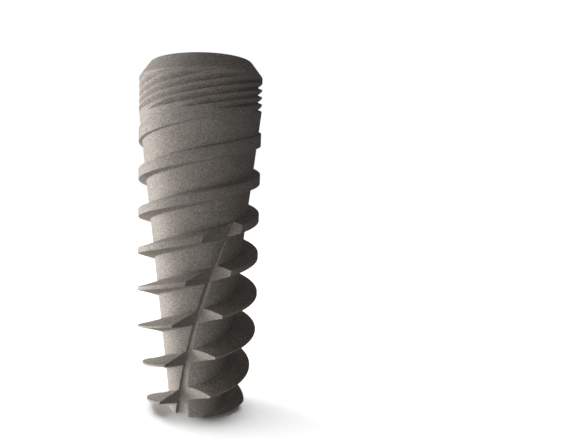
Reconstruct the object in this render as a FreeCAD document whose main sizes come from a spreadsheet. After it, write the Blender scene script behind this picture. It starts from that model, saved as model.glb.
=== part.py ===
"""Dental implant: a one-piece titanium screw that is set in the jaw bone.

The frame stands the implant on its flat apex, with its axis along +Z and the apex
centre at the origin. The front, -Y, is the side from which the first flute is seen.
Lengths are in millimetres and angles in degrees.
"""
import FreeCAD, Part
import math
import os
import Sketcher

NODE = "implant_body"

# Each size is set by itself: alias, value, what it is.
SIZES = [
    ("implant_length", 11.5, "apex to platform"),
    ("implant_diameter", 4.0, "over the thread and the collar"),
    ("apex_diameter", 3.22, "thread envelope at the apex"),
    ("taper_height", 2.99, "apex to the end of the tapered thread"),
    ("apex_face_diameter", 1.8, "flat end of the apex"),
    ("apex_bevel_height", 0.3, "bevel between the flat end and the taper"),
    ("platform_diameter", 3.28, "platform before its edge is rounded"),
    ("bevel_height", 0.48, "bevel between collar and platform"),
    ("platform_round", 0.11, "rounded edge of the platform"),
    ("collar_round", 0.07, "rounded edge between bevel and collar"),
    ("neck_height", 1.51, "platform down to the run-out of the thread"),
    ("root_diameter", 1.70, "core of the thread at the apex"),
    ("thread_starts", 2, "helices side by side"),
    ("thread_pitch", 1.259, "one thread to the next"),
    ("thread_drop", 1.59, "apex down to where the thread tool starts"),
    ("groove_floor", 0.811, "flat floor between two threads"),
    ("groove_reach", 0.86, "height of the thread tool over its floor"),
    ("upper_flank", 13.7, "groove flank under a thread, from square"),
    ("lower_flank", 13.5, "groove flank over a thread, from square"),
    ("collar_starts", 10, "fine grooves round the collar"),
    ("collar_pitch", 0.23, "one fine groove to the next"),
    ("collar_groove_depth", 0.13, "fine groove depth"),
    ("collar_groove_rise", 0.13, "upper wall of a fine groove, over its bottom"),
    ("collar_groove_fall", 0.09, "lower wall of a fine groove, under its bottom"),
    ("collar_groove_foot", 1.47, "platform down to the lower end of the full depth"),
    ("collar_groove_head", 0.68, "platform down to the upper end of the full depth"),
    ("collar_groove_turn", -8.6, "foot of the first fine groove, from +X"),
    ("collar_foot_fade", 0.21, "height over which a fine groove runs out below"),
    ("collar_head_fade", 0.15, "height over which a fine groove runs out above"),
    ("flute_count", 2, "cutting flutes round the apex"),
    ("flute_turn", 44.3, "flat face of the first flute, from the front"),
    ("flute_tilt", 14.45, "slope of the flutes along the implant"),
    ("flute_past_axis", 0.06, "flat face past the axis at the apex"),
    ("flute_length", 7.06, "along the flat face"),
    ("flute_wall_radius", 14.4, "bow of the other wall"),
    ("flute_wall_reach", 0.87, "top of the bow past the axis"),
    ("flute_wall_height", 2.08, "apex to the top of the bow"),
    ("mouth_diameter", 2.9, "conical seat at the platform"),
    ("seat_angle", 11.0, "half angle of the seat"),
    ("seat_depth", 1.2, "platform to the end of the seat"),
    ("hex_across_flats", 2.1, "socket that keeps the abutment from turning"),
    ("hex_depth", 2.9, "platform to the end of the hexagon"),
    ("screw_drill", 1.25, "tapping hole of the abutment screw"),
    ("screw_depth", 4.0, "tapping hole under the hexagon"),
    ("drill_point", 118.0, "cone that the drill leaves"),
]

# How far tools stand clear of the metal that they cut.
CLEAR = 0.4

# The same for the fine grooves, whose tools lie side by side.
SKIM = 0.005


def make_sheet(doc):
    """Put the driving sizes in the first column, their notes in the second."""
    sheet = doc.addObject("Spreadsheet::Sheet", "Sizes")
    for row, (alias, value, note) in enumerate(SIZES, start=1):
        sheet.set(f"A{row}", str(value))
        sheet.setAlias(f"A{row}", alias)
        sheet.set(f"B{row}", note)
    doc.recompute()
    return sheet


def origin_part(body, role):
    """Return the body's own origin plane or axis of that role."""
    return next(item for item in body.Origin.OriginFeatures if item.Role == role)


class Outline:
    """A sketch on an origin plane whose corners are bound to the sizes."""

    def __init__(self, body, name, role, offset=None):
        self.sketch = body.newObject("Sketcher::SketchObject", name)
        self.sketch.AttachmentSupport = [(origin_part(body, role), "")]
        self.sketch.MapMode = "FlatFace"
        if offset is not None:
            self.sketch.AttachmentOffset = offset

    def value(self, formula):
        """Work a formula of sizes out to a plain number."""
        result = self.sketch.evalExpression(formula)
        return float(getattr(result, "Value", result))

    def constrain(self, formula, kind, *places):
        """Add a constraint whose value follows the formula."""
        index = self.sketch.addConstraint(
            Sketcher.Constraint(kind, *places, self.value(formula)))
        self.sketch.setExpression(f"Constraints[{index}]", formula)

    def pin(self, geometry, point, across, up):
        """Place one point by its distances from the origin."""
        self.constrain(across, "DistanceX", -1, 1, geometry, point)
        self.constrain(up, "DistanceY", -1, 1, geometry, point)

    def vector(self, across, up):
        return FreeCAD.Vector(self.value(across), self.value(up), 0)

    def polygon(self, corners):
        """Draw a closed outline through corners given as pairs of formulas."""
        points = [self.vector(*corner) for corner in corners]
        count = len(points)
        for index in range(count):
            self.sketch.addGeometry(
                Part.LineSegment(points[index], points[(index + 1) % count]))
        for index in range(count):
            self.sketch.addConstraint(
                Sketcher.Constraint("Coincident", index, 2, (index + 1) % count, 1))
            self.pin(index, 1, *corners[index])
        return self.sketch


def round_edge(body, name, radius, size, height):
    """Fillet the circular edge of that radius at that height."""
    doc = body.Document
    doc.recompute()
    base = body.Tip
    tolerance = 1e-4
    names = []
    for index, edge in enumerate(base.Shape.Edges, start=1):
        if not isinstance(edge.Curve, Part.Circle):
            continue
        same_height = abs(edge.Curve.Center.z - height) < tolerance
        if same_height and abs(edge.Curve.Radius - radius) < tolerance:
            names.append(f"Edge{index}")
    fillet = body.newObject("PartDesign::Fillet", name)
    fillet.Base = (base, names)
    fillet.setExpression("Radius", size)
    return fillet


def repeat(body, name, features, count):
    """Space copies of features evenly round the axis."""
    pattern = body.newObject("PartDesign::PolarPattern", name)
    pattern.Originals = features
    pattern.Axis = (origin_part(body, "Z_Axis"), [""])
    pattern.Angle = 360
    pattern.setExpression("Occurrences", count)
    body.Tip = pattern
    return pattern


def turn_blank(body, sheet):
    """Turn the bar: bevelled and tapered apex, straight middle, bevelled collar."""
    outline = Outline(body, "BlankProfile", "XZ_Plane")
    widening = ("(Sizes.implant_diameter - Sizes.apex_diameter) / 2"
                " * Sizes.apex_bevel_height / Sizes.taper_height")
    outline.polygon([
        ("0", "0"),
        ("Sizes.apex_face_diameter / 2", "0"),
        (f"Sizes.apex_diameter / 2 + {widening}", "Sizes.apex_bevel_height"),
        ("Sizes.implant_diameter / 2", "Sizes.taper_height"),
        ("Sizes.implant_diameter / 2", "Sizes.implant_length - Sizes.bevel_height"),
        ("Sizes.platform_diameter / 2", "Sizes.implant_length"),
        ("0", "Sizes.implant_length"),
    ])
    blank = body.newObject("PartDesign::Revolution", "Blank")
    blank.Profile = outline.sketch
    blank.ReferenceAxis = (outline.sketch, ["V_Axis"])
    blank.Angle = 360
    length = sheet.implant_length
    round_edge(body, "PlatformEdge", sheet.platform_diameter / 2,
               "Sizes.platform_round", length)
    round_edge(body, "CollarEdge", sheet.implant_diameter / 2,
               "Sizes.collar_round", length - sheet.bevel_height)


def bore_connection(body, sheet):
    """Cut the conical seat, the hexagon under it and the screw hole."""
    seat = Outline(body, "SeatProfile", "XZ_Plane")
    seat.polygon([
        ("0", "Sizes.implant_length"),
        ("Sizes.mouth_diameter / 2", "Sizes.implant_length"),
        ("Sizes.mouth_diameter / 2 - Sizes.seat_depth * tan(Sizes.seat_angle * 1deg)",
         "Sizes.implant_length - Sizes.seat_depth"),
        ("0", "Sizes.implant_length - Sizes.seat_depth"),
    ])
    cone = body.newObject("PartDesign::Groove", "ConicalSeat")
    cone.Profile = seat.sketch
    cone.ReferenceAxis = (seat.sketch, ["V_Axis"])
    cone.Angle = 360

    socket = Outline(body, "HexagonProfile", "XY_Plane")
    socket.sketch.setExpression("AttachmentOffset.Base.z",
                                "Sizes.implant_length - Sizes.seat_depth")
    reach = "Sizes.hex_across_flats / sqrt(3)"
    socket.polygon([
        (f"{reach} * cos({60 * corner}deg)", f"{reach} * sin({60 * corner}deg)")
        for corner in range(6)
    ])
    hexagon = body.newObject("PartDesign::Pocket", "HexagonSocket")
    hexagon.Profile = socket.sketch
    hexagon.setExpression("Length", "Sizes.hex_depth - Sizes.seat_depth")

    centre = Outline(body, "ScrewHoleCentre", "XY_Plane")
    centre.sketch.setExpression("AttachmentOffset.Base.z",
                                "Sizes.implant_length - Sizes.hex_depth")
    drill_radius = "Sizes.screw_drill / 2"
    centre.sketch.addGeometry(Part.Circle(
        FreeCAD.Vector(), FreeCAD.Vector(0, 0, 1), centre.value(drill_radius)))
    centre.sketch.addConstraint(Sketcher.Constraint("Coincident", 0, 3, -1, 1))
    centre.constrain(drill_radius, "Radius", 0)
    body.Document.recompute()
    hole = body.newObject("PartDesign::Hole", "ScrewHole")
    hole.Profile = centre.sketch
    hole.setExpression("Diameter", "Sizes.screw_drill")
    hole.setExpression("Depth", "Sizes.screw_depth")
    hole.DrillPoint = "Angled"
    hole.setExpression("DrillPointAngle", "Sizes.drill_point * 1deg")


def wind(profile, turn, lead, height, slope):
    """Sweep a tool's profile up a helix on a cone that widens by slope.

    The profile is a list of (radius, height) corners, the first of them on the
    helix, and it stays in a plane through the axis all the way.
    """
    radius, start = profile[0]
    helix = Part.makeLongHelix(lead, height, radius, math.degrees(math.atan(slope)))
    path = Part.Wire(helix.Edges)
    path.Placement = FreeCAD.Placement(
        FreeCAD.Vector(0, 0, start), FreeCAD.Rotation(FreeCAD.Vector(0, 0, 1), turn))
    across = FreeCAD.Vector(math.cos(math.radians(turn)), math.sin(math.radians(turn)), 0)
    corners = [across * out + FreeCAD.Vector(0, 0, up) for out, up in profile]
    sweep = Part.BRepOffsetAPI.MakePipeShell(path)
    sweep.setBiNormalMode(FreeCAD.Vector(0, 0, 1))
    sweep.add(Part.makePolygon(corners + corners[:1]), False, False)
    sweep.build()
    sweep.makeSolid()
    tool = sweep.shape()
    if tool.Volume < 0:
        tool.reverse()
    return tool


def round_the_axis(tools, count):
    """Copy tools evenly round the axis."""
    copies = []
    for index in range(int(count)):
        for tool in tools:
            copy = tool.copy()
            copy.rotate(FreeCAD.Vector(), FreeCAD.Vector(0, 0, 1), 360 * index / count)
            copies.append(copy)
    return copies


def thread_tools(sheet):
    """Grooves of one floor width, wound up a slim cone, leave the bone thread.

    The floor lies on the core, which widens from the apex and meets the full
    diameter under the collar, so the grooves run out there by themselves.
    """
    run_out = sheet.implant_length - sheet.neck_height
    slope = (sheet.implant_diameter - sheet.root_diameter) / 2 / run_out
    low = -sheet.thread_drop - sheet.groove_floor / 2
    high = low + sheet.groove_floor
    core_low, core_high = (sheet.root_diameter / 2 + slope * up for up in (low, high))
    reach = sheet.groove_reach
    profile = [
        (core_low, low),
        (core_low + reach, low - reach * math.tan(math.radians(sheet.lower_flank))),
        (core_high + reach, high + reach * math.tan(math.radians(sheet.upper_flank))),
        (core_high, high),
    ]
    lead = sheet.thread_pitch * sheet.thread_starts
    height = run_out - low + CLEAR
    return round_the_axis([wind(profile, 0, lead, height, slope)], sheet.thread_starts)


def collar_groove(sheet, depth, start, height, slope):
    """One fine V groove, depth deep where it starts."""
    lead = sheet.collar_pitch * sheet.collar_starts
    bottom = sheet.implant_diameter / 2 - depth
    over = sheet.collar_groove_depth + SKIM
    fall = sheet.collar_groove_fall * over / sheet.collar_groove_depth
    rise = sheet.collar_groove_rise * over / sheet.collar_groove_depth
    profile = [(bottom, start), (bottom + over, start - fall), (bottom + over, start + rise)]
    foot = sheet.implant_length - sheet.collar_groove_foot
    turn = sheet.collar_groove_turn + 360 * (start - foot) / lead
    return wind(profile, turn, lead, height, slope)


def collar_tools(sheet):
    """Fine grooves, each with a run-out under its full depth and one over it."""
    depth = sheet.collar_groove_depth
    foot = sheet.implant_length - sheet.collar_groove_foot
    head = sheet.implant_length - sheet.collar_groove_head
    foot_fade = sheet.collar_foot_fade
    head_fade = sheet.collar_head_fade
    drop = depth + SKIM
    groove = collar_groove(sheet, depth, foot, head - foot, 0)
    below = collar_groove(sheet, -SKIM, foot - foot_fade, foot_fade, -drop / foot_fade)
    above = collar_groove(sheet, depth, head, head_fade, drop / head_fade)
    return round_the_axis([groove.fuse([below, above])], sheet.collar_starts)


def mill_flutes(body, sheet):
    """Mill the cutting flutes, each a flat face and a bowed wall square to it."""
    turned = FreeCAD.Rotation(0, sheet.flute_turn, sheet.flute_tilt)
    shift = turned.multVec(FreeCAD.Vector(0, 0, -sheet.flute_past_axis))
    outline = Outline(body, "FluteProfile", "XZ_Plane",
                      FreeCAD.Placement(shift, turned))
    foot = f"-{CLEAR}"
    outside = f"-Sizes.implant_diameter / 2 - {CLEAR}"
    bow_centre = ("Sizes.flute_wall_radius - Sizes.flute_wall_reach",
                  "Sizes.flute_wall_height")
    centre = outline.vector(*bow_centre)
    radius = sheet.flute_wall_radius
    ends = []
    for height in (outline.value("Sizes.flute_length"), outline.value(foot)):
        rise = height - centre.y
        ends.append(math.pi - math.asin(rise / radius))
    corners = [centre + FreeCAD.Vector(math.cos(end), math.sin(end), 0) * radius
               for end in ends]
    outer = [FreeCAD.Vector(outline.value(outside), corner.y, 0) for corner in corners]
    sketch = outline.sketch
    sketch.addGeometry(Part.ArcOfCircle(
        Part.Circle(centre, FreeCAD.Vector(0, 0, 1), radius), ends[0], ends[1]))
    sketch.addGeometry(Part.LineSegment(corners[1], outer[1]))
    sketch.addGeometry(Part.LineSegment(outer[1], outer[0]))
    sketch.addGeometry(Part.LineSegment(outer[0], corners[0]))
    for first, second in (((0, 2), (1, 1)), ((1, 2), (2, 1)),
                          ((2, 2), (3, 1)), ((3, 2), (0, 1))):
        sketch.addConstraint(Sketcher.Constraint("Coincident", *first, *second))
    sketch.addConstraint(Sketcher.Constraint("Horizontal", 1))
    sketch.addConstraint(Sketcher.Constraint("Horizontal", 3))
    outline.pin(0, 3, *bow_centre)
    outline.constrain("Sizes.flute_wall_radius", "Radius", 0)
    outline.pin(2, 1, outside, foot)
    outline.pin(2, 2, outside, "Sizes.flute_length")
    flute = body.newObject("PartDesign::Pocket", "Flute")
    flute.Profile = sketch
    flute.Reversed = True
    flute.setExpression("Length", f"Sizes.implant_diameter + {CLEAR}")
    repeat(body, "Flutes", [flute], "Sizes.flute_count")


def cut(doc, name, part, tools):
    """Take a group of tools out of a part."""
    group = doc.addObject("Part::Feature", f"{name}Tools")
    group.Shape = Part.makeCompound(tools)
    result = doc.addObject("Part::Cut", name)
    result.Base = part
    result.Tool = group
    return result


def report_cut(name, before, after):
    """Print what a cut removes, and stop if it removes nothing."""
    taken = before.Volume - after.Volume
    if taken <= 0:
        raise RuntimeError(f"{name} cuts nothing")
    print(f"{name} removes {taken:.3f} mm3")


def check(doc, part):
    """Stop before anything is written if a feature or the solid is not sound."""
    for item in doc.Objects:
        if {"Invalid", "Error"} & set(item.State):
            raise RuntimeError(f"{item.Name} failed: {item.State}")
    shape = part.Shape
    if shape.isNull() or not shape.isValid() or len(shape.Solids) != 1:
        raise RuntimeError(f"{part.Label} is not one valid solid")
    for name in ("ConicalSeat", "HexagonSocket", "ScrewHole", "Flutes"):
        feature = doc.getObject(name)
        report_cut(name, feature.BaseFeature.Shape, feature.Shape)
    for feature in doc.findObjects("Part::Cut"):
        report_cut(feature.Name, feature.Base.Shape, feature.Shape)


def main():
    doc = FreeCAD.newDocument("DentalImplant")
    sheet = make_sheet(doc)
    blank = doc.addObject("PartDesign::Body", "MilledBlank")
    turn_blank(blank, sheet)
    bore_connection(blank, sheet)
    mill_flutes(blank, sheet)
    threaded = cut(doc, "BoneThread", blank, thread_tools(sheet))
    implant = cut(doc, "CollarGrooves", threaded, collar_tools(sheet))
    implant.Label = NODE
    implant.Placement = FreeCAD.Placement()
    doc.recompute()
    check(doc, implant)
    os.makedirs("parts", exist_ok=True)
    implant.Shape.exportStep(f"parts/{NODE}.step")
    box = implant.Shape.optimalBoundingBox(True)
    print(f"{NODE}: volume {implant.Shape.Volume:.3f} mm3, "
          f"box {box.XLength:.3f} x {box.YLength:.3f} x {box.ZLength:.3f}")


main()
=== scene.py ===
import math

import bpy
import numpy as np
from mathutils import Matrix, Vector


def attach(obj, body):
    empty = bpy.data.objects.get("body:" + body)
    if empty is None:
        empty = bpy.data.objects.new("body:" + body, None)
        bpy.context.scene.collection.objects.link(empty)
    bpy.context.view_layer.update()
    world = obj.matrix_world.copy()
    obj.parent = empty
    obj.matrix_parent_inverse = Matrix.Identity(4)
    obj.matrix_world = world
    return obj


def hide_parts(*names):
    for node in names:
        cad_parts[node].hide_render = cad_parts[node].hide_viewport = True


# A dental implant in blasted and etched titanium, standing on its apex. Its sizes are
# in millimetres along the implant's axis, +Z, and turns are counted from +X.

MM = 0.001

LENGTH = 11.5
RADIUS = 2.0
APEX_RADIUS = 1.61
TAPER_HEIGHT = 2.99
APEX_FACE_RADIUS = 0.9
APEX_BEVEL_HEIGHT = 0.3
APEX_ROUND = 0.04
PLATFORM_RADIUS = 1.64
BEVEL_HEIGHT = 0.48
PLATFORM_ROUND = 0.11
COLLAR_ROUND = 0.07

STARTS = 2
PITCH = 1.259
LEAD = STARTS * PITCH
THREAD_DROP = 1.59
THREAD_TOP = 10.6
GROOVE_FLOOR = 0.811
CORE_RADIUS = 0.85
NECK_HEIGHT = 1.51
CORE_SLOPE = (RADIUS - CORE_RADIUS) / (LENGTH - NECK_HEIGHT)
LOWER_FLANK = math.tan(math.radians(13.5))
UPPER_FLANK = math.tan(math.radians(13.7))
CREST_EDGE = 0.022
ROOT_CORNER = 0.03
# Near a run-out, how much of the groove's depth and of the crest may be softened.
ROOT_SHARE = 0.1
EDGE_SHARE = 0.12
CREST_SHARE = 0.3

FINE_STARTS = 10
FINE_PITCH = 0.23
FINE_LEAD = FINE_STARTS * FINE_PITCH
FINE_DEPTH = 0.13
FINE_TIP_HEIGHT = 0.145
FINE_TIP = 0.024
FINE_ROOT = 0.02
# Where a ridge's underside bulges, as shares of its depth and its tip's height.
FINE_BULGE = (0.88, 0.52)
FINE_FOOT = LENGTH - 1.47
FINE_HEAD = LENGTH - 0.68
FINE_TURN = math.radians(-8.6)
FOOT_FADE = 0.21
HEAD_FADE = 0.15

FLUTE_TURN = math.radians(44.3)
FLUTE_TILT = math.radians(14.8)
FLUTE_PAST_AXIS = 0.06
FLUTE_LENGTH = 7.06
FLUTE_CORNER = 0.03
WALL_RADIUS = 13.4
WALL_REACH = 0.87
WALL_HEIGHT = 2.08

MOUTH_RADIUS = 1.45
SEAT_SLOPE = math.tan(math.radians(11))
SEAT_DEPTH = 1.2
HEX_FLATS = 2.1
HEX_CORNER = 0.12
HEX_DEPTH = 2.9
DRILL_RADIUS = 0.625
DRILL_DEPTH = 4.0
DRILL_POINT = math.radians(59)
SCREW_RADIUS = 0.79
SCREW_PITCH = 0.35
SCREW_FOOT = 0.6
SCREW_HEAD = 0.1

# How far a cutter stands out of the metal, and the same for the close fine grooves.
CLEAR = 0.4
SKIM = 0.005

TURN_STEPS = 180
LATHE_STEPS = 240
BORE_STEPS = 144
FLUTE_STEPS = 40
SCREW_STEPS = 60
SHARP_ANGLE = math.radians(30)

LAMP_DISTANCE = 120
LAMP_SIZE = 60
FLOOR_RADIUS = 600


def new_piece(name, points, faces):
    """Make a closed mesh piece, with its faces turned outwards."""
    mesh = bpy.data.meshes.new(name)
    mesh.from_pydata(np.asarray(points, dtype=float).tolist(), [], faces)
    piece = bpy.data.objects.new(name, mesh)
    bpy.context.scene.collection.objects.link(piece)
    mesh.calc_loop_triangles()
    places = np.array([vertex.co for vertex in mesh.vertices])
    a, b, c = (places[[t.vertices[i] for t in mesh.loop_triangles]] for i in range(3))
    if np.einsum("ij,ij->i", a, np.cross(b, c)).sum() < 0:
        mesh.flip_normals()
    return piece


def lathe(name, outline, steps=LATHE_STEPS):
    """Turn an outline of (radius, height) that starts and ends on the axis."""
    angles = np.arange(steps) * 2 * math.pi / steps
    rim = outline[1:-1]
    points = [(r * math.cos(a), r * math.sin(a), z) for r, z in rim for a in angles]
    foot, top = len(points), len(points) + 1
    points += [(0, 0, outline[0][1]), (0, 0, outline[-1][1])]
    faces = []
    for ring in range(len(rim) - 1):
        for i in range(steps):
            j = (i + 1) % steps
            low, high = ring * steps, (ring + 1) * steps
            faces.append((low + i, low + j, high + j, high + i))
    last = (len(rim) - 1) * steps
    for i in range(steps):
        j = (i + 1) % steps
        faces.append((foot, j, i))
        faces.append((top, last + i, last + j))
    return new_piece(name, points, faces)


def loft(name, sections):
    """Skin a stack of closed outlines that all have as many points."""
    stack, around = len(sections), len(sections[0])
    points = np.concatenate(sections)
    faces = [tuple(reversed(range(around))), tuple(range(len(points) - around, len(points)))]
    for k in range(stack - 1):
        for i in range(around):
            j = (i + 1) % around
            faces.append((k * around + i, k * around + j,
                          (k + 1) * around + j, (k + 1) * around + i))
    return new_piece(name, points, faces)


def wind(name, angles, profiles):
    """Wind (radius, height) profiles round the axis, each at its own angle."""
    sections = []
    for angle, profile in zip(angles, profiles):
        r, z = profile[:, 0], profile[:, 1]
        sections.append(np.column_stack([r * math.cos(angle), r * math.sin(angle), z]))
    return loft(name, sections)


def join(name, pieces):
    """Put several closed pieces into one mesh."""
    points, faces = [], []
    for piece in pieces:
        start = len(points)
        points += [vertex.co[:] for vertex in piece.data.vertices]
        faces += [tuple(start + i for i in face.vertices) for face in piece.data.polygons]
        bpy.data.objects.remove(piece)
    return new_piece(name, points, faces)


def turned(piece, angle):
    """Turn a piece round the implant's axis."""
    piece.data.transform(Matrix.Rotation(angle, 4, "Z"))
    return piece


def cut(body, *tools):
    """Take the tools out of the body, one after another."""
    for tool in tools:
        work = body.modifiers.new(tool.name, "BOOLEAN")
        work.operation = "DIFFERENCE"
        work.solver = "MANIFOLD"
        work.object = tool
    shown = body.evaluated_get(bpy.context.evaluated_depsgraph_get())
    mesh = bpy.data.meshes.new_from_object(shown)
    body.modifiers.clear()
    body.data = mesh
    for tool in tools:
        bpy.data.objects.remove(tool)


def rounded(before, corner, after, radius, steps=6):
    """Round a corner of an outline: points of an arc between its two sides."""
    before, corner, after = (np.array(p, dtype=float) for p in (before, corner, after))
    back = (before - corner) / np.linalg.norm(before - corner)
    on = (after - corner) / np.linalg.norm(after - corner)
    half = math.acos(float(np.clip(back @ on, -1, 1))) / 2
    reach = radius / math.tan(half)
    middle = corner + (back + on) / np.linalg.norm(back + on) * radius / math.sin(half)
    first = corner + back * reach - middle
    last = corner + on * reach - middle
    sweep = math.acos(float(np.clip(first @ last / radius ** 2, -1, 1)))
    arc = []
    for i in range(steps + 1):
        part = i / steps
        mix = (math.sin((1 - part) * sweep) * first + math.sin(part * sweep) * last)
        arc.append(tuple(middle + mix / math.sin(sweep)))
    return arc


def envelope(height):
    """Radius over the thread crests at a height."""
    slope = (RADIUS - APEX_RADIUS) / TAPER_HEIGHT
    return np.minimum(RADIUS, APEX_RADIUS + slope * height)


def turned_blank():
    """The bar before threading: bevelled apex, taper, bevelled collar."""
    face, taper = (APEX_FACE_RADIUS, 0), (RADIUS, TAPER_HEIGHT)
    apex = (envelope(APEX_BEVEL_HEIGHT), APEX_BEVEL_HEIGHT)
    collar, platform = (RADIUS, LENGTH - BEVEL_HEIGHT), (PLATFORM_RADIUS, LENGTH)
    outline = [(0, 0), (APEX_FACE_RADIUS / 2, 0), face]
    outline += rounded(face, apex, taper, APEX_ROUND)
    outline += [taper]
    outline += rounded(taper, collar, platform, COLLAR_ROUND)
    outline += rounded(collar, platform, (0, LENGTH), PLATFORM_ROUND, 8)
    outline += [(0, LENGTH)]
    return lathe("ImplantBody", outline)


def unit(vector):
    return vector / np.linalg.norm(vector, axis=-1, keepdims=True)


def groove_side(corner, wall_slope, up, crest_gap):
    """Profile of one side of a thread groove, from its root corner outwards.

    The side rises off the floor with a rounded root, and turns over at the crest of
    the thread in a rounded edge that ends just outside the metal.
    """
    root_r, root_z = corner
    top_r = np.maximum(envelope(root_z), root_r)
    # On the taper the crest's radius and height hang on each other.
    for _ in range(4):
        top_z = root_z + up * wall_slope * (top_r - root_r)
        top_r = np.maximum(envelope(top_z), root_r)
    depth = top_r - root_r
    root = np.column_stack([root_r, root_z])
    top = np.column_stack([top_r, top_z])
    wall = unit(np.column_stack([np.ones_like(root_r), np.full_like(root_r, up * wall_slope)]))
    floor = unit(np.column_stack([np.full_like(root_r, -up * CORE_SLOPE),
                                  np.full_like(root_r, -up)]))
    near = 0.01
    crest_slope = (envelope(top_z + near) - envelope(top_z - near)) / (2 * near)
    crest = unit(np.column_stack([up * crest_slope, np.full_like(root_r, up)]))
    soft = np.minimum(ROOT_CORNER, ROOT_SHARE * depth)[:, None]
    edge = np.minimum(np.minimum(CREST_EDGE, CREST_SHARE * crest_gap),
                      EDGE_SHARE * depth)[:, None]
    rows = []
    for part in np.linspace(0, 1, 5):
        rows.append((1 - part) ** 2 * (root + soft * floor)
                    + 2 * part * (1 - part) * root + part ** 2 * (root + soft * wall))
    turned_over = 0.7
    for part in np.linspace(0, turned_over, 5):
        rows.append((1 - part) ** 2 * (top - edge * wall)
                    + 2 * part * (1 - part) * top + part ** 2 * (top + edge * crest))
    heading = unit((1 - turned_over) * wall + turned_over * crest)
    just_outside = 0.03
    outside = (top_r + just_outside)[:, None]
    leave = rows[-1] + heading * (outside - rows[-1][:, :1]) / heading[:, :1]
    rows.append(leave)
    rows.append(leave + np.array([CLEAR, 0]))
    return rows


def thread_groove(start):
    """One groove between two bone threads, down to a core that widens upwards."""
    centre = np.arange(-THREAD_DROP, THREAD_TOP, LEAD / TURN_STEPS)
    angles = 2 * math.pi * (centre + THREAD_DROP - start * PITCH) / LEAD
    corners = []
    for side in (-1, 1):
        z = centre + side * GROOVE_FLOOR / 2
        corners.append((CORE_RADIUS + CORE_SLOPE * z, z))
    mouth = GROOVE_FLOOR + (LOWER_FLANK + UPPER_FLANK) * np.maximum(
        envelope(centre) - corners[0][0], 0)
    thinnest_crest = 0.01
    crest_gap = np.maximum(PITCH - mouth, thinnest_crest)
    lower = groove_side(corners[0], LOWER_FLANK, -1, crest_gap)
    upper = groove_side(corners[1], UPPER_FLANK, 1, crest_gap)
    rows = lower[::-1] + upper
    return wind("ThreadGroove", angles, np.stack(rows, axis=1))


def fine_profile():
    """Profile of one fine groove between two ridges, from its lowest point.

    Points are (out, up). The underside of a ridge bulges into its tip and the top side
    falls off it almost level. The profile leaves the metal just before the outermost
    point of each ridge.
    """
    hair, tip_round = 0.0005, FINE_TIP * 0.8
    tip = np.array([FINE_DEPTH, FINE_TIP_HEIGHT])
    bulge = np.array([FINE_DEPTH * FINE_BULGE[0], FINE_TIP_HEIGHT * FINE_BULGE[1]])
    root = np.zeros(2)
    under = [tuple(2 * t * (1 - t) * bulge + t * t * tip) for t in np.linspace(0, 1, 9)]
    corner = tip - (0, FINE_PITCH - FINE_TIP)
    top = rounded(tip - (0, FINE_PITCH), corner, root, tip_round, 5)
    start = rounded(corner, root, under[2], FINE_ROOT, 4)
    side = np.array(top + start + under[3:-1] + [(tip[0] - hair, tip[1] - SKIM)])
    deepest = side[:, 0].min()
    side[:, 0] = (side[:, 0] - deepest) * (FINE_DEPTH + 2 * hair) / (FINE_DEPTH - deepest)
    outside = FINE_DEPTH + 2 * SKIM
    return np.array([(outside, side[0, 1]), *side, (outside, side[-1, 1])])


def fine_grooves():
    """Ten fine grooves round the collar, each of which runs out at both ends."""
    lowest, highest = FINE_FOOT - FOOT_FADE, FINE_HEAD + HEAD_FADE
    heights = np.concatenate([
        np.linspace(lowest, FINE_FOOT, 25),
        np.arange(FINE_FOOT, FINE_HEAD, FINE_LEAD / TURN_STEPS)[1:],
        np.linspace(FINE_HEAD, highest, 19)])
    sink = np.interp(heights, [lowest, FINE_FOOT, FINE_HEAD, highest],
                     [-SKIM, FINE_DEPTH, FINE_DEPTH, -SKIM])
    side = fine_profile()
    profiles = [side + (RADIUS - down, height) for height, down in zip(heights, sink)]
    grooves = []
    for start in range(FINE_STARTS):
        angles = (FINE_TURN + 2 * math.pi * (heights - FINE_FOOT) / FINE_LEAD
                  + 2 * math.pi * start / FINE_STARTS)
        grooves.append(wind("FineGroove", angles, profiles))
    return join("FineGrooves", grooves)


def flute_cutter(turn):
    """A cutter with a flat face, a bowed wall square to it and a soft inner corner."""
    out = np.array([math.sin(FLUTE_TURN) * math.cos(FLUTE_TILT),
                    -math.cos(FLUTE_TURN) * math.cos(FLUTE_TILT), -math.sin(FLUTE_TILT)])
    across = np.array([-math.cos(FLUTE_TURN), -math.sin(FLUTE_TURN), 0])
    along = np.cross(across, out)
    if along[2] < 0:
        along = -along
    reach, far = RADIUS + CLEAR, 2 * RADIUS + CLEAR
    corner = [(FLUTE_CORNER * (1 - math.sin(a)), FLUTE_CORNER * (1 - math.cos(a)))
              for a in np.linspace(0, math.pi / 2, 7)]
    sections = []
    for height in np.linspace(-CLEAR, FLUTE_LENGTH, FLUTE_STEPS):
        wall = (WALL_REACH - WALL_RADIUS
                + math.sqrt(WALL_RADIUS ** 2 - (height - WALL_HEIGHT) ** 2))
        flat = [(reach, far), (reach, 0)] + [(wall + a, b) for a, b in corner] + [(wall, far)]
        sections.append(np.array([across * a + out * (b - FLUTE_PAST_AXIS) + along * height
                                  for a, b in flat]))
    return turned(loft("Flute", sections), turn)


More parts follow.
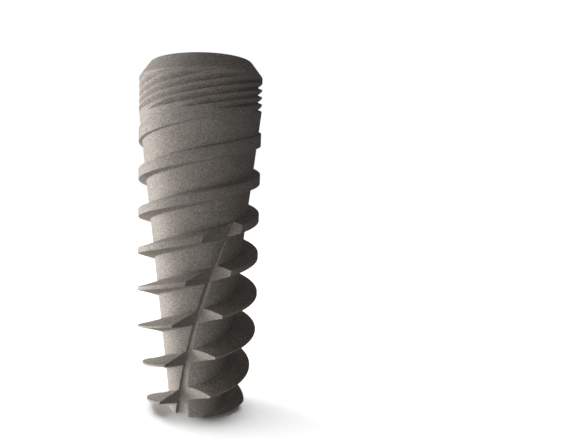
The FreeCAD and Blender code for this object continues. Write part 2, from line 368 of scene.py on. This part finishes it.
def connection_cutter():
    """Conical seat, and the tapping hole with its drill point and lead-in.

    The part between the seat and the hole is narrower than the hexagon, which is cut
    on its own.
    """
    shoulder = LENGTH - HEX_DEPTH
    bottom = shoulder - DRILL_DEPTH
    point = bottom - DRILL_RADIUS / math.tan(DRILL_POINT)
    seat_end = MOUTH_RADIUS - SEAT_SLOPE * SEAT_DEPTH
    lead_in, above = 0.08, 0.3
    return lathe("SeatAndHole", [
        (0, point), (DRILL_RADIUS, bottom), (DRILL_RADIUS, shoulder - lead_in),
        (DRILL_RADIUS + lead_in, shoulder), (DRILL_RADIUS + lead_in, shoulder + above),
        (DRILL_RADIUS, LENGTH - SEAT_DEPTH), (seat_end, LENGTH - SEAT_DEPTH),
        (MOUTH_RADIUS, LENGTH), (MOUTH_RADIUS + CLEAR * SEAT_SLOPE, LENGTH + CLEAR),
        (0, LENGTH + CLEAR)], BORE_STEPS)


def hexagon_cutter():
    """Hexagon socket whose corners are softened by the mill."""
    reach, overlap = HEX_FLATS / math.sqrt(3), 0.05
    corners = [(reach * math.cos(a), reach * math.sin(a))
               for a in np.arange(6) * math.pi / 3]
    ring = []
    for i in range(6):
        ring += rounded(corners[i - 1], corners[i], corners[(i + 1) % 6], HEX_CORNER, 5)
    ring = np.array(ring)
    sections = [np.column_stack([ring, np.full(len(ring), height)])
                for height in (LENGTH - HEX_DEPTH, LENGTH - SEAT_DEPTH + overlap)]
    return loft("Hexagon", sections)


def screw_thread_cutter():
    """The fine inner thread for the abutment screw."""
    bottom = LENGTH - HEX_DEPTH - DRILL_DEPTH + SCREW_FOOT
    heights = np.arange(bottom, LENGTH - HEX_DEPTH - SCREW_HEAD, SCREW_PITCH / SCREW_STEPS)
    mouth, root = SCREW_PITCH * 0.42, SCREW_PITCH * 0.08
    overlap = 0.02
    inside = DRILL_RADIUS - overlap
    profiles = [[(inside, z - mouth), (SCREW_RADIUS, z - root),
                 (SCREW_RADIUS, z + root), (inside, z + mouth)] for z in heights]
    angles = 2 * math.pi * heights / SCREW_PITCH
    return wind("ScrewThread", angles, np.array(profiles))


def implant():
    """Cut the whole implant out of its turned blank."""
    body = turned_blank()
    cut(body, thread_groove(0), thread_groove(1))
    cut(body, fine_grooves())
    cut(body, flute_cutter(0), flute_cutter(math.pi))
    cut(body, connection_cutter(), hexagon_cutter())
    cut(body, screw_thread_cutter())
    body.data.transform(Matrix.Scale(MM, 4))
    body.data.shade_smooth()
    body.data.set_sharp_from_angle(angle=SHARP_ANGLE)
    return body


class Flow:
    """A value in a material: a socket that can be used in Python sums."""

    def __init__(self, paint, socket):
        self.paint = paint
        self.socket = socket

    def math(self, operation, other):
        return self.paint.node("ShaderNodeMath", {"operation": operation},
                               {0: self, 1: other})

    def __add__(self, other):
        return self.math("ADD", other)

    def __sub__(self, other):
        return self.math("SUBTRACT", other)

    def __mul__(self, other):
        return self.math("MULTIPLY", other)


class Paint:
    """One material and its nodes."""

    def __init__(self, name):
        self.material = bpy.data.materials.new(name)
        self.material.use_nodes = True
        self.tree = self.material.node_tree
        self.tree.nodes.clear()

    def node(self, kind, settings=None, values=None, output=0):
        """Add a node: its settings first, then what goes into its sockets."""
        made = self.tree.nodes.new(kind)
        for key, value in (settings or {}).items():
            if key == "stops":
                ramp = made.color_ramp.elements
                while len(ramp) < len(value):
                    ramp.new(0.5)
                for stop, (place, colour) in zip(ramp, value):
                    stop.position = place
                    stop.color = colour
            else:
                setattr(made, key, value)
        for key, value in (values or {}).items():
            if isinstance(value, Flow):
                self.tree.links.new(value.socket, made.inputs[key])
            else:
                made.inputs[key].default_value = value
        return Flow(self, made.outputs[output]) if made.outputs else None


def blasted_titanium():
    """Grit-blasted, acid-etched titanium: warm grey, matte, with a fine grain."""
    paint = Paint("BlastedTitanium")
    # Places are in millimetres, so the scales are grains to the millimetre. The grains
    # are wider than they are high.
    flatness = 2.6
    place = paint.node("ShaderNodeTexCoord", output="Object")
    place = paint.node("ShaderNodeVectorMath", {"operation": "MULTIPLY"},
                       {0: place, 1: (1 / MM, 1 / MM, flatness / MM)})

    def noise(scale, detail, rough):
        return paint.node("ShaderNodeTexNoise", {"noise_dimensions": "3D"},
                          {"Vector": place, "Scale": scale, "Detail": detail,
                           "Roughness": rough})

    grit = noise(19.0, 2.0, 0.6)
    specks = paint.node("ShaderNodeTexVoronoi", None, {"Vector": place, "Scale": 24.0},
                        output="Color")
    cloud = noise(0.9, 3.0, 0.55)
    relief = grit * 0.8 + specks * 0.25
    shade = (specks - 0.5) * 0.5 + (grit - 0.5) * 0.85 + (cloud - 0.5) * 0.2 + 0.5
    colour = paint.node("ShaderNodeValToRGB",
                        {"stops": [(0.1, (0.22, 0.201, 0.184, 1)),
                                   (0.5, (0.43, 0.393, 0.358, 1)),
                                   (0.9, (0.70, 0.640, 0.584, 1))]},
                        {0: shade})
    bump = paint.node("ShaderNodeBump", None,
                      {"Strength": 1.0, "Distance": 0.01 * MM, "Height": relief})
    finish = paint.node("ShaderNodeBsdfPrincipled", None, {
        "Base Color": colour, "Metallic": 0.7, "Roughness": (cloud - 0.5) * 0.1 + 0.78,
        "Normal": bump})
    paint.node("ShaderNodeOutputMaterial", None, {"Surface": finish})
    return paint.material


def pale_floor():
    """Plain, almost white studio floor."""
    paint = Paint("PaleFloor")
    finish = paint.node("ShaderNodeBsdfPrincipled", None, {
        "Base Color": (0.9, 0.9, 0.9, 1), "Roughness": 0.9})
    paint.node("ShaderNodeOutputMaterial", None, {"Surface": finish})
    return paint.material


def lay_floor():
    """A wide round floor under the apex, which lets the low lamps shine through."""
    sides = 96
    edge = [(FLOOR_RADIUS * math.cos(a), FLOOR_RADIUS * math.sin(a), 0)
            for a in np.arange(sides) * 2 * math.pi / sides]
    mesh = bpy.data.meshes.new("Floor")
    mesh.from_pydata(edge, [], [tuple(range(sides))])
    mesh.transform(Matrix.Scale(MM, 4))
    mesh.materials.append(pale_floor())
    floor = bpy.data.objects.new("Floor", mesh)
    bpy.context.scene.collection.objects.link(floor)
    floor.visible_shadow = False
    floor.visible_diffuse = False
    floor.visible_glossy = False
    return floor


def soft_box(name, turn, height, light):
    """A square soft box that faces the implant's middle.

    Its turn is counted from the front towards the right, and its height is an angle
    over the middle. Light is what falls on a surface that faces the box.
    """
    middle = Vector((0, 0, LENGTH / 2))
    turn, height = math.radians(turn), math.radians(height)
    way = Vector((math.sin(turn) * math.cos(height), -math.cos(turn) * math.cos(height),
                  math.sin(height)))
    lamp = bpy.data.lights.new(name, "AREA")
    lamp.size = LAMP_SIZE * MM
    lamp.energy = light * math.pi * (LAMP_DISTANCE * MM) ** 2
    box = bpy.data.objects.new(name, lamp)
    box.location = (middle + way * LAMP_DISTANCE) * MM
    box.rotation_euler = way.to_track_quat("Z", "Y").to_euler()
    bpy.context.scene.collection.objects.link(box)


def light_studio(floor):
    """Soft boxes from the front round to the back, a floor lamp, a white surround."""
    soft_box("FrontBox", -10, -25, 0.36)
    soft_box("FrontLeftBox", -42, -12, 0.54)
    soft_box("LowLeftBox", -70, -25, 0.68)
    soft_box("LeftBox", -100, 5, 1.38)
    soft_box("RearLeftBox", -115, -10, 2.05)
    soft_box("HighRearLeftBox", -115, 50, 0.74)
    soft_box("BackBox", 175, -12, 0.38)
    overhead = bpy.data.lights.new("FloorLight", "SUN")
    overhead.energy = 3.6
    overhead.angle = math.radians(70)
    lamp = bpy.data.objects.new("FloorLight", overhead)
    bpy.context.scene.collection.objects.link(lamp)
    only_floor = bpy.data.collections.new("OnlyFloor")
    only_floor.objects.link(floor)
    lamp.light_linking.receiver_collection = only_floor
    world = bpy.data.worlds.new("Studio")
    world.use_nodes = True
    nodes, links = world.node_tree.nodes, world.node_tree.links
    surround = nodes["Background"]
    surround.inputs["Color"].default_value = (1, 1, 1, 1)
    seen = nodes.new("ShaderNodeLightPath")
    strength = nodes.new("ShaderNodeMapRange")
    fill, seen_white = 0.095, 1.0
    strength.inputs["To Min"].default_value = fill
    strength.inputs["To Max"].default_value = seen_white
    links.new(seen.outputs["Is Camera Ray"], strength.inputs["Value"])
    links.new(strength.outputs["Result"], surround.inputs["Strength"])
    bpy.context.scene.world = world


def set_camera():
    """A close view from a little over the middle, almost upright.

    The picture's width and height, its focal length and the point straight ahead of
    the lens are in pixels.
    """
    width, height, focal = 566, 439, 525.47
    across, down = 198.335, 226.63
    distance, rise, roll = 17.536, 0.0824, -0.0175
    target = Vector((0, 0, 6.199))
    eye = target + Vector((0, -distance * math.cos(rise), distance * math.sin(rise)))
    look = (target - eye).normalized()
    right = Vector((1, 0, 0))
    up = right.cross(look)
    side = math.cos(roll) * right - math.sin(roll) * up
    top = math.sin(roll) * right + math.cos(roll) * up
    turn = Matrix((side, top, -look)).transposed()
    data = bpy.data.cameras.new("Camera")
    data.sensor_width = 36
    data.lens = focal * data.sensor_width / width
    data.shift_x = (width / 2 - across) / width
    data.shift_y = (down - height / 2) / width
    data.clip_start = 0.5 * MM
    data.clip_end = 5
    camera = bpy.data.objects.new("Camera", data)
    camera.matrix_world = Matrix.Translation(eye * MM) @ turn.to_4x4()
    bpy.context.scene.collection.objects.link(camera)
    bpy.context.scene.camera = camera


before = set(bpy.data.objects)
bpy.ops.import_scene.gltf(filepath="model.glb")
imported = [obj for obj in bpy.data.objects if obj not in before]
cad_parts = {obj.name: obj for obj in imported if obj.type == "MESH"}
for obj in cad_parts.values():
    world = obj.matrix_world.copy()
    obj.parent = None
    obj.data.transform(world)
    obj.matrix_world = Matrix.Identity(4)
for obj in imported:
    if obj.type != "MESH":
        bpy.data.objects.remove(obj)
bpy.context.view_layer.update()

body = implant()
body.data.materials.clear()
body.data.materials.append(blasted_titanium())
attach(body, "root")
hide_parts("implant_body")

bpy.context.scene.view_settings.view_transform = "Standard"
light_studio(lay_floor())
set_camera()
